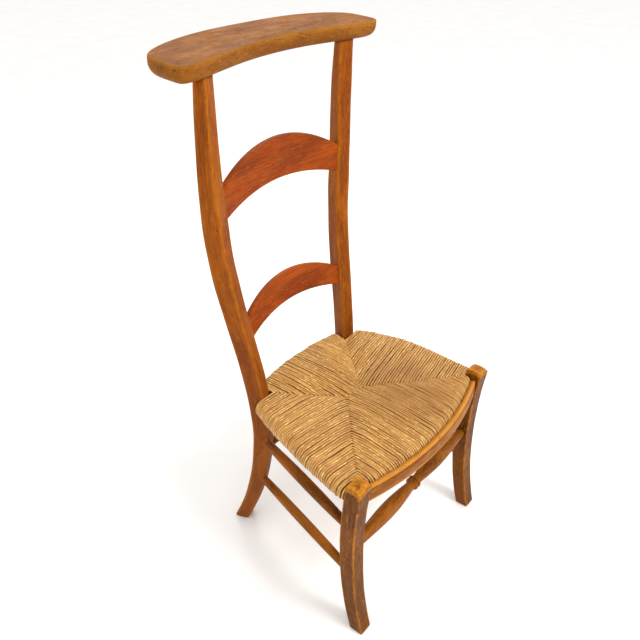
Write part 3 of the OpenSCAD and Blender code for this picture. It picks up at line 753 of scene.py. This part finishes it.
# The strip is one moulded profile carried along an arc in plan: a rounded bead on top, a scratched
# line under it, a flat face and a rounded lower arris.
def trimStrip():
    look = trimLook
    h, t, q = look["height"], look["thickness"], look["quirk"]
    bead = np.radians(np.linspace(-80, 180, 14))
    beadR = (q - 0.0006) / 2
    beadOut = t - 0.0007 - beadR + beadR * np.cos(bead) * 0.98
    beadUp = h - beadR + beadR * np.sin(bead)
    backPart = [(0.0006, 0.0), (0.0, 0.0006), (0.0, h * 0.25), (0.0, h * 0.5), (0.0, h * 0.75),
                (0.0, h - 0.0015), (0.0008, h - 0.0004)]
    beadPart = [(o, u) for o, u in zip(beadOut[::-1], beadUp[::-1]) if o > 0.0012]
    facePart = [(t - 0.0014, h - q - 0.0001), (t - 0.0012, h - q - 0.0006), (t - 0.0002, h - q - 0.0013),
                (t, h - q - 0.003), (t, h * 0.55), (t, h * 0.4), (t, h * 0.28), (t, 0.0045)]
    arris = look["lowArris"]
    roundPart = [(t - arris + arris * math.cos(a), arris - arris * math.sin(a))
                 for a in np.radians([0, 18, 36, 54, 72, 90])]
    points = np.array(backPart + beadPart + facePart + roundPart)
    wearProfile = np.interp(points[:, 1], [0, 0.003, 0.008, h - q - 0.004, h - q, h - 0.004, h],
                            [0.9, 0.8, 0.15, 0.2, 0.0, 0.9, 1.0])
    angle = np.linspace(-1, 1, 120) * math.asin(look["half"] / trimRadius)
    out = (trimRadius - look["thickness"] + points[:, 0])[None]
    rings = np.stack([out * np.sin(angle)[:, None], trimMiddle - out * np.cos(angle)[:, None],
                      np.broadcast_to(look["low"] + points[:, 1], (len(angle), len(points)))], -1)
    rings[..., 0] = np.clip(rings[..., 0], -look["half"], look["half"])
    rings = np.concatenate([rings[:1].mean(1, keepdims=True) + 0 * rings[:1], rings,
                            rings[-1:].mean(1, keepdims=True) + 0 * rings[-1:]])
    along = np.concatenate([angle[:1], angle, angle[-1:]]) * trimRadius
    across, through = (np.broadcast_to(points[:, k], rings.shape[:2]) for k in (1, 0))
    along = np.broadcast_to(along[:, None], rings.shape[:2])
    grain = np.stack([across, through, along], -1) + np.array([0.83, 0.29, 21.7])
    wear = np.broadcast_to(wearProfile, rings.shape[:2])
    return skinRings("trimStripBent", rings[None], {"timber": grain[None], "rubbed": wear[None]},
                     "frame_wood", ["trim_strip"], trimFinish)


trimStrip()


# Short round pins, each a profile with a domed head turned about its own axis.
def pins(name, node, slot, heads, axes, look, finish=None):
    heads, axes = np.array(heads, float), np.array(axes, float)
    axes /= np.linalg.norm(axes, axis=1, keepdims=True)
    side = np.cross(axes, [0, 0, 1.0])
    side /= np.linalg.norm(side, axis=1, keepdims=True)
    up = np.cross(side, axes)
    turn = np.linspace(0, 2 * math.pi, 14, endpoint=False)
    bend = np.radians([90, 60, 30, 0])
    radius, depth = look["radius"], look["depth"]
    r = np.concatenate([radius * np.cos(bend), [radius, radius, 0]])[:, None, None]
    h = np.concatenate([look["dome"] * np.sin(bend), [-depth / 2, -depth, -depth]])
    ring = (side[:, None, None] * np.cos(turn)[:, None] + up[:, None, None] * np.sin(turn)[:, None]) * r
    rings = heads[:, None, None] + ring + axes[:, None, None] * h[:, None, None]
    grain = rings + np.array([0.1, 0.2, 23.0])
    wear = np.broadcast_to(np.where(h > -0.0001, 0.8, 0.2)[None, :, None], rings.shape[:3])
    return skinRings(name, rings, {"timber": grain, "rubbed": wear}, slot, [node], finish)


pegLook = {"radius": 0.0025, "depth": 0.016, "dome": 0.0009, "sunk": 0.0004}


# A peg goes through each end of each slat, square to the back face of the turned post.
def lockSlats():
    turn = math.radians(postLook["turn"])
    inset = postLook["width"] / 4
    heads, axes = [], []
    for slat in (slatShape["upper"], slatShape["lower"]):
        height = slat["low"] + slat["end"] / 2
        postX, postY = (float(v) for v in postMiddle(height))
        length = float(postDeep(height)) / 2 + inset * (math.sin(turn) + math.cos(turn)) - pegLook["sunk"]
        x = postX - inset + math.sin(turn) * length
        y = postY - inset + math.cos(turn) * length
        for side in (-1, 1):
            heads.append((side * x, y, height))
            axes.append((side * math.sin(turn), math.cos(turn), 0))
    return pins("slatPegs", "slat_pegs", "hidden_wood", heads, axes, pegLook)


lockSlats()


def rustedSteel():
    material, tree, shader = newMaterial("rustedSteel")
    rust = noise(tree, stretched(tree, objectSocket(tree), (900, 900, 900)), 1, 3, 0.6)
    colour = blended(tree, stepped(tree, rust, 0.4, 0.6), (0.20, 0.17, 0.14), (0.16, 0.07, 0.03))
    tree.links.new(colour, shader.inputs["Base Color"])
    tree.links.new(stepped(tree, rust, 0.4, 0.6, 0.35, 0.8), shader.inputs["Roughness"])
    tree.links.new(bumped(tree, rust, 0.4, 0.0003), shader.inputs["Normal"])
    shader.inputs["Metallic"].default_value = 0.85
    return material


nailLook = {"radius": 0.0011, "depth": 0.023, "dome": 0.0005, "sunk": 0.0009, "height": 0.324,
            "angles": (-15, -5, 5, 15)}  # degrees round the strip's arc


def nailTrim():
    angles = np.radians(nailLook["angles"])
    axes = np.stack([np.sin(angles), -np.cos(angles), 0 * angles], -1)
    heads = (0, trimMiddle, nailLook["height"]) + axes * (trimRadius - nailLook["sunk"])
    return pins("trimNails", "trim_nails", "nail_steel", heads, axes, nailLook, rustedSteel())


nailTrim()
print("trim, pegs and nails ready")


rushLook = {
    "pitch": 0.00435, "thickness": 0.0046, "overlap": 1.16,
    "railFrontZ": 0.320, "railRearZ": 0.336, "halfHeight": 0.018,
    "bulgeLeft": 0.009, "bulgeRight": 0.027, "bulgeBackLeft": 1.0, "bulgeBackRight": 1.5,
    "rearBulge": 0.014, "rearSpread": 1.07, "postSkip": 0.0125,
    "frontWide": 0.340, "rearWide": 0.213, "sideLong": 0.229,  # lengths that the strands fill
    "crownRadius": 1.9, "crownRise": 0.0068, "crownY": -0.048, "overRail": 0.0170,
    "valley": 0.0052, "valleyReach": 0.017, "underRise": 0.0010, "underValley": 0.0022,
    "roll": 0.0165, "rollBluntness": 0.86,
    "seamFront": (0.1710, -0.1665), "seamRear": (0.1065, 0.0710),
    "junctionLeft": (-0.030, -0.038), "junctionRight": (0.008, -0.039),
}
railFront = np.array([legLook["halfSpan"], float(legMiddle(rushLook["railFrontZ"]))])
railRear = np.array([float(v) for v in postMiddle(rushLook["railRearZ"])])
seatSlope = math.atan((rushLook["railRearZ"] - rushLook["railFrontZ"]) / (railRear[1] - railFront[1]))
hands = {"Left": np.array([-1, 1]), "Right": np.array([1, 1])}  # how x and y are mirrored
seams = {word: {"front": np.array(rushLook["seamFront"]) * mirror,
                "junction": np.array(rushLook["junction" + word]),
                "rear": np.array(rushLook["seamRear"]) * mirror} for word, mirror in hands.items()}


# The seat is worked out flat, with x and y in its own plane and h above the middle of the rails,
# then tipped to the slope of the rails.
def tipped(x, y, h):
    c, s = math.cos(seatSlope), math.sin(seatSlope)
    return np.stack([x, railFront[1] + (y - railFront[1]) * c - h * s,
                     rushLook["railFrontZ"] + (y - railFront[1]) * s + h * c], -1)


# Shortest distance in plan from points to the line between two points.
def lineDistance(x, y, a, b):
    along = np.clip(((x - a[0]) * (b[0] - a[0]) + (y - a[1]) * (b[1] - a[1])) / np.sum((b - a) ** 2), 0, 1)
    return np.hypot(x - a[0] - along * (b[0] - a[0]), y - a[1] - along * (b[1] - a[1]))


def seamDistance(x, y):
    return np.min([lineDistance(x, y, seam[end], seam["junction"])
                   for seam in seams.values() for end in ("front", "rear")], axis=0)


# Top of the rush: a very large ball's crown, with a soft valley along each seam.
def rushTop(x, y):
    look = rushLook
    away = np.hypot(x, y - look["crownY"])
    crown = look["halfHeight"] + look["crownRise"] - away ** 2 / (2 * look["crownRadius"])
    sway = 0.0007 * np.sin(x * 61 + 1.3) * np.sin(y * 47 + 0.6) + 0.0005 * np.sin(x * 23 + y * 31)
    valley = look["valley"] * np.exp(-(seamDistance(x, y) / look["valleyReach"]) ** 1.5)
    # The rails hold the rush up, so it never lies lower than one strand above them.
    return np.maximum(crown + sway - valley, look["overRail"] + sway)


# Underside of the rush: a flat, raised a little along each seam.
def rushUnder(x, y):
    look = rushLook
    valley = look["underValley"] * np.exp(-(seamDistance(x, y) / look["valleyReach"]) ** 1.5)
    return look["underRise"] - look["halfHeight"] + valley


# One field of strands. Each strand rises out of the seam, lies over the seat, rolls round the rail
# and runs back underneath: a path in the upright plane through its seam point and its edge point.
# An oval, drawn out sideways, is carried along every path at once.
def rushField(name, seamEnds, edgeEnds, seed, lateral=8):
    look = rushLook
    strands = len(seamEnds)
    drift = np.random.default_rng(seed)
    half = look["thickness"] / 2
    span = edgeEnds - seamEnds
    reach = np.linalg.norm(span, axis=1)
    heading = span / reach[:, None]
    roll = np.minimum(look["roll"], reach * 0.6)
    # Distances from the seam along the top, then angles round the rail, then back underneath.
    outOfSeam = np.array([-0.0035, -0.0018, 0, 0.0022, 0.005])
    onTop = np.linspace(0.08, 1, 15)
    run = (reach - roll - half)[:, None]
    topRun = np.concatenate([np.broadcast_to(outOfSeam, (strands, len(outOfSeam))),
                             outOfSeam[-1] + (run - outOfSeam[-1]) * onTop], 1)
    sink = np.concatenate([[0.0075, 0.0038, 0.0014, 0.0004, 0.0], 0 * onTop])
    x = seamEnds[:, :1] + heading[:, :1] * topRun
    y = seamEnds[:, 1:] + heading[:, 1:] * topRun
    topH = rushTop(x, y) - half - sink
    endTop = topH[:, -1:]
    endUnder = rushUnder(x[:, -1:], y[:, -1:]) + half
    bend = np.radians(np.linspace(90, -90, 15)[1:-1])
    centreH, halfH = (endTop + endUnder) / 2, (endTop - endUnder) / 2
    rollRun = run + roll[:, None] * blunted(np.cos(bend), look["rollBluntness"])
    rollH = centreH + halfH * blunted(np.sin(bend), look["rollBluntness"])
    underRun = np.concatenate([run * np.linspace(1, 0.1, 9),
                               np.broadcast_to([0.001, -0.002], (strands, 2))], 1)
    underX = seamEnds[:, :1] + heading[:, :1] * underRun
    underY = seamEnds[:, 1:] + heading[:, 1:] * underRun
    underH = rushUnder(underX, underY) + half + np.concatenate([np.zeros(9), [0.001, 0.005]])
    distance = np.concatenate([topRun, rollRun, underRun], 1)
    height = np.concatenate([topH, rollH, underH], 1)
    steps = distance.shape[1]
    stride = np.hypot(np.diff(distance, axis=1), np.diff(height, axis=1))
    walked = np.concatenate([np.zeros((strands, 1)), np.cumsum(stride, 1)], 1)
    # Hand-laid strands are never quite straight, level or even.
    swing = drift.uniform(0, 2 * math.pi, (3, strands, 1))
    sidestep = 0.00032 * np.sin(walked * 38 + swing[0]) + 0.00022 * np.sin(walked * 91 + swing[1])
    sidestep += drift.normal(0, 0.00022, (strands, 1))
    lift = 0.00030 * np.sin(walked * 52 + swing[2]) + drift.normal(0, 0.00030, (strands, 1))
    side = np.stack([-heading[:, 1], heading[:, 0]], -1)
    slopeR, slopeH = np.gradient(distance, axis=1), np.gradient(height, axis=1)
    size = np.hypot(slopeR, slopeH)
    upR, upH = -slopeH / size, slopeR / size
    distance, height = distance + upR * lift, height + upH * lift
    wide = look["pitch"] * look["overlap"] / 2 * drift.normal(1, 0.07, (strands, 1))
    wide = wide * (1 + 0.06 * np.sin(walked * 70 + swing[1]))
    thick = half * drift.normal(1, 0.06, (strands, 1)) * (1 + 0.05 * np.sin(walked * 95 + swing[0]))
    around = np.linspace(0, 2 * math.pi, lateral, endpoint=False)
    offSide = sidestep[..., None] + wide[..., None] * np.cos(around)
    offUp = thick[..., None] * np.sin(around)
    r = distance[..., None] + upR[..., None] * offUp
    h = height[..., None] + upH[..., None] * offUp
    px = seamEnds[:, 0, None, None] + heading[:, 0, None, None] * r + side[:, 0, None, None] * offSide
    py = seamEnds[:, 1, None, None] + heading[:, 1, None, None] * r + side[:, 1, None, None] * offSide
    rings = tipped(px, py, h)
    rings = np.concatenate([rings[:, :1].mean(2, keepdims=True) + 0 * rings[:, :1], rings,
                            rings[:, -1:].mean(2, keepdims=True) + 0 * rings[:, -1:]], 1)
    tone = np.broadcast_to(drift.uniform(0, 1, (strands, 1, 1)), (strands, steps + 2, lateral))
    walkedAll = np.concatenate([walked[:, :1], walked, walked[:, -1:]], 1)
    lay = np.stack([np.broadcast_to(walkedAll[..., None], tone.shape),
                    np.broadcast_to(around / (2 * math.pi), tone.shape),
                    tone + np.arange(strands)[:, None, None]], -1)
    return skinRings(name, rings, {"lay": lay, "tone": tone}, "rush", ["rush_seat"])


rushTone = {
    "deep": (0.400, 0.170, 0.028), "gold": (0.720, 0.390, 0.088), "tan": (0.480, 0.225, 0.048),
    "fibre": (0.250, 0.098, 0.018), "fleckAndGlint": (0.920, 0.660, 0.240), "worn": (0.330, 0.140, 0.028),
    "strandGapShade": (0.130, 0.048, 0.009), "wornSpot": (0.062, -0.118, 0.345), "twist": 0.014,
}


# Golden rush: each strand has its own tone, streaks and pale flecks run along it (the flecks partly
# the rush's own pale fibres, partly painted glints), a twist winds round it in relief, and the seat is
# browner in one worn spot and in a few clouds.
def rushFinish(look):
    material, tree, shader = newMaterial("twistedRush")
    link = tree.links.new
    lay = attributeSocket(tree, "lay")
    tone = attributeSocket(tree, "tone", "Fac")
    place = objectSocket(tree)
    parts = tree.nodes.new("ShaderNodeSeparateXYZ")
    link(lay, parts.inputs[0])
    streak = noise(tree, stretched(tree, lay, (26, 5.5, 7.3)), 1, 3, 0.55)
    fibre = noise(tree, stretched(tree, lay, (48, 26, 3.1), (4, 4, 4)), 1, 3, 0.6)
    patch = noise(tree, stretched(tree, place, (17, 17, 17)), 1, 2, 0.5)
    fleckAndGlint = noise(tree, stretched(tree, lay, (120, 7, 11)), 1, 2, 0.5)

    colour = blended(tree, stepped(tree, streak, 0.30, 0.70), look["deep"], look["gold"])
    colour = blended(tree, stepped(tree, tone, 0.15, 0.95, 0.0, 0.5), colour, look["tan"])
    colour = blended(tree, stepped(tree, fibre, 0.48, 0.66, 0.0, 0.5), colour, look["fibre"])
    # Pale flecks along the strands: partly the rush's own pale fibres, partly painted glints.
    colour = blended(tree, stepped(tree, fleckAndGlint, 0.57, 0.68, 0.0, 0.75), colour, look["fleckAndGlint"])
    # Browned where it has been rubbed: a spot towards the front right and a few stray clouds.
    spot = tree.nodes.new("ShaderNodeVectorMath")
    spot.operation = "DISTANCE"
    link(place, spot.inputs[0])
    spot.inputs[1].default_value = look["wornSpot"]
    worn = stepped(tree, spot.outputs["Value"], 0.03, 0.150, 0.85, 0.0)
    worn = sums(tree, "MULTIPLY", worn, stepped(tree, patch, 0.30, 0.60, 0.50, 1.0))
    worn = sums(tree, "MAXIMUM", worn, stepped(tree, patch, 0.60, 0.75, 0.0, 0.35))
    colour = blended(tree, worn, colour, look["worn"])
    # Painted shade in the gaps between strands: the flanks of every strand are darkened to a deep brown.
    turned = sums(tree, "MULTIPLY", parts.outputs["Y"], 2 * math.pi)
    flank = sums(tree, "ABSOLUTE", sums(tree, "COSINE", turned))
    colour = blended(tree, stepped(tree, flank, 0.50, 0.90, 0.0, 0.85), colour, look["strandGapShade"])
    link(colour, shader.inputs["Base Color"])
    link(stepped(tree, streak, 0.3, 0.7, 0.58, 0.42), shader.inputs["Roughness"])
    shader.inputs["Specular IOR Level"].default_value = 0.35
    shader.inputs["Sheen Weight"].default_value = 0.08
    # The twist: two ridges wind round the strand, and each goes once round in 28 mm.
    windings = sums(tree, "MULTIPLY_ADD", parts.outputs["X"], 2 * math.pi / look["twist"],
                    sums(tree, "MULTIPLY", parts.outputs["Y"], 4 * math.pi))
    ridge = sums(tree, "SINE", windings)
    relief = sums(tree, "ADD", sums(tree, "MULTIPLY", ridge, 0.22), sums(tree, "MULTIPLY", fibre, 0.9))
    link(bumped(tree, relief, 0.6, 0.0006), shader.inputs["Normal"])
    return material


finishes["rush"] = rushFinish(rushTone)


# Middles of the strands laid side by side over a width, as x.
def evenAcross(wide):
    count = round(wide / rushLook["pitch"])
    return (np.arange(count) + 0.5) / count * wide - wide / 2


# Points at even steps along a bent line.
def evenAlong(points, count):
    points = np.array(points)
    walk = np.concatenate([[0], np.cumsum(np.linalg.norm(np.diff(points, axis=0), axis=1))])
    even = (np.arange(count) + 0.5) / count * walk[-1]
    return np.stack([np.interp(even, walk, points[:, k]) for k in range(2)], -1)


# The four fields: strands start at even steps along the seams and end at even steps along the edge
# of the seat, straight back or forth in the front and rear fields and square to the slanting rail
# in the side fields.
def weaveSeat():
    look = rushLook
    corners = np.array([seams["Left"]["front"], seams["Left"]["junction"],
                        seams["Right"]["junction"], seams["Right"]["front"]])
    backArc = trimRadius - trimLook["thickness"] - 0.0005
    x = evenAcross(look["frontWide"])
    edge = np.stack([x, trimMiddle - np.sqrt(backArc ** 2 - x ** 2)], -1)
    rushField("rushFront", np.stack([x, np.interp(x, *corners.T)], -1), edge, 11)
    corners[0], corners[-1] = seams["Left"]["rear"], seams["Right"]["rear"]
    x = evenAcross(look["rearWide"])
    bulge = look["rearBulge"] * np.sin(math.pi * (x / (2 * railRear[0]) + 0.5))
    edge = np.stack([x * look["rearSpread"], railRear[1] + look["halfHeight"] + bulge], -1)
    rushField("rushRear", np.stack([x, np.interp(x, *corners.T)], -1), edge, 23)
    direction = railRear - railFront
    length = np.linalg.norm(direction)
    outward = np.array([direction[1], -direction[0]]) / length
    skip = look["postSkip"] / length
    count = round(look["sideLong"] / look["pitch"])
    for word, mirror in hands.items():
        t = np.linspace(skip, 1 - skip * 1.5, 400)[:, None]
        swell = look["bulge" + word] * np.sin(math.pi * t ** look["bulgeBack" + word]) ** 0.8
        outline = railFront + direction * t + outward * (look["halfHeight"] + swell)
        edge = evenAlong(outline * mirror, count)
        front, junction, rear = seams[word]["front"], seams[word]["junction"], seams[word]["rear"]
        extents = [abs(np.cross(leg, outward * mirror)) for leg in (junction - front, rear - junction)]
        u = (np.arange(count) + 0.5) / count
        turns = [0, extents[0] / sum(extents), 1]
        seam = np.stack([np.interp(u, turns, [front[k], junction[k], rear[k]]) for k in range(2)], -1)
        rushField("rush" + word, seam, edge, 31 + mirror[0])


weaveSeat()
print("rush seat woven")


# Straw packed between the two layers, inside the four rails: an oblong outline, narrower at the
# back, drawn in towards its top and bottom, with small lumps all over.
strawLook = {
    "frontHalf": 0.146, "frontY": -0.150, "rearHalf": 0.092, "rearY": 0.056,
    "low": -0.0035, "high": 0.0035, "squareness": 0.35, "edgeRoundness": 0.45, "lumps": 0.0006,
}


def strawPad():
    look = strawLook
    turn = np.linspace(0, 2 * math.pi, 96, endpoint=False)
    depth = blunted(np.sin(turn), look["squareness"])
    middleY = (look["frontY"] + look["rearY"]) / 2
    y = middleY + depth * (look["rearY"] - look["frontY"]) / 2
    half = np.interp(depth, [-1, 1], [look["frontHalf"], look["rearHalf"]])
    rim = np.stack([half * blunted(np.cos(turn), look["squareness"]), y], -1)
    lift = np.linspace(-math.pi / 2, math.pi / 2, 21)[:, None]
    draw = np.cos(lift) ** look["edgeRoundness"]
    h = (look["low"] + look["high"]) / 2 + np.sin(lift) * (look["high"] - look["low"]) / 2
    px, py = rim[:, 0] * draw, middleY + (rim[:, 1] - middleY) * draw
    ph = h + look["lumps"] * np.sin(px * 300) * np.sin(py * 260) * draw
    rings = tipped(px, py, ph)
    lay = np.stack([px, py, ph], -1)
    pad = skinRings("strawStuffing", rings[None], {"lay": lay[None], "tone": (0.5 + 0 * px)[None]},
                    "straw", ["seat_stuffing"])
    return pad


def strawFinish():
    material, tree, shader = newMaterial("looseStraw")
    place = objectSocket(tree)
    stalks = noise(tree, stretched(tree, place, (40, 700, 700)), 1, 3, 0.6, 1.2)
    across = noise(tree, stretched(tree, place, (700, 50, 700)), 1, 3, 0.6, 1.2)
    mixed = sums(tree, "MAXIMUM", stalks, across)
    colour = blended(tree, stepped(tree, mixed, 0.4, 0.7), (0.16, 0.08, 0.025), (0.40, 0.23, 0.08))
    tree.links.new(colour, shader.inputs["Base Color"])
    tree.links.new(bumped(tree, mixed, 0.8, 0.0015), shader.inputs["Normal"])
    shader.inputs["Roughness"].default_value = 0.75
    return material


finishes["straw"] = strawFinish()
strawPad()


# The rails keep their own shape, under the rush.
def railFinish():
    material, tree, shader = newMaterial("bareRail")
    place = objectSocket(tree)
    grainLines = noise(tree, stretched(tree, place, (260, 260, 900)), 1, 4, 0.6, 0.3)
    spots = noise(tree, stretched(tree, place, (35, 35, 35)), 1, 3, 0.5)
    colour = blended(tree, stepped(tree, grainLines, 0.35, 0.7), (0.06, 0.026, 0.008), (0.12, 0.055, 0.018))
    colour = blended(tree, stepped(tree, spots, 0.45, 0.75, 0.0, 0.5), colour, (0.20, 0.11, 0.05))
    tree.links.new(colour, shader.inputs["Base Color"])
    tree.links.new(bumped(tree, grainLines, 0.4, 0.0005), shader.inputs["Normal"])
    shader.inputs["Roughness"].default_value = 0.7
    return material


bareRail = railFinish()
for node in ("seat_rail_front", "seat_rail_rear", "seat_rail_left", "seat_rail_right"):
    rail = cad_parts[node]
    if not rail.material_slots:
        rail.data.materials.append(bareRail)
    for materialSlot in rail.material_slots:
        materialSlot.material = bareRail
print("straw and rails ready")


# A pale sheet of paper laid far out on all sides.
def addFloor():
    material, tree, shader = newMaterial("paleFloor")
    mottle = noise(tree, stretched(tree, objectSocket(tree), (5, 5, 5)), 1, 3, 0.5)
    colour = blended(tree, stepped(tree, mottle, 0.3, 0.7), (0.90, 0.90, 0.895), (0.93, 0.93, 0.925))
    tree.links.new(colour, shader.inputs["Base Color"])
    shader.inputs["Roughness"].default_value = 0.85
    steps = np.linspace(-40, 40, 41)
    x, y = np.meshgrid(steps, steps)
    points = np.stack([x, y, 0 * x - 0.0004], -1).reshape(-1, 3)
    index = np.arange(len(points)).reshape(len(steps), -1)
    quads = np.stack([index[:-1, :-1], index[:-1, 1:], index[1:, 1:], index[1:, :-1]], -1).reshape(-1, 4)
    mesh = bpy.data.meshes.new("floor")
    mesh.from_pydata(points.tolist(), [], quads.tolist())
    mesh.materials.append(material)
    floor = bpy.data.objects.new("floor", mesh)
    bpy.context.scene.collection.objects.link(floor)


addFloor()
print("floor ready")
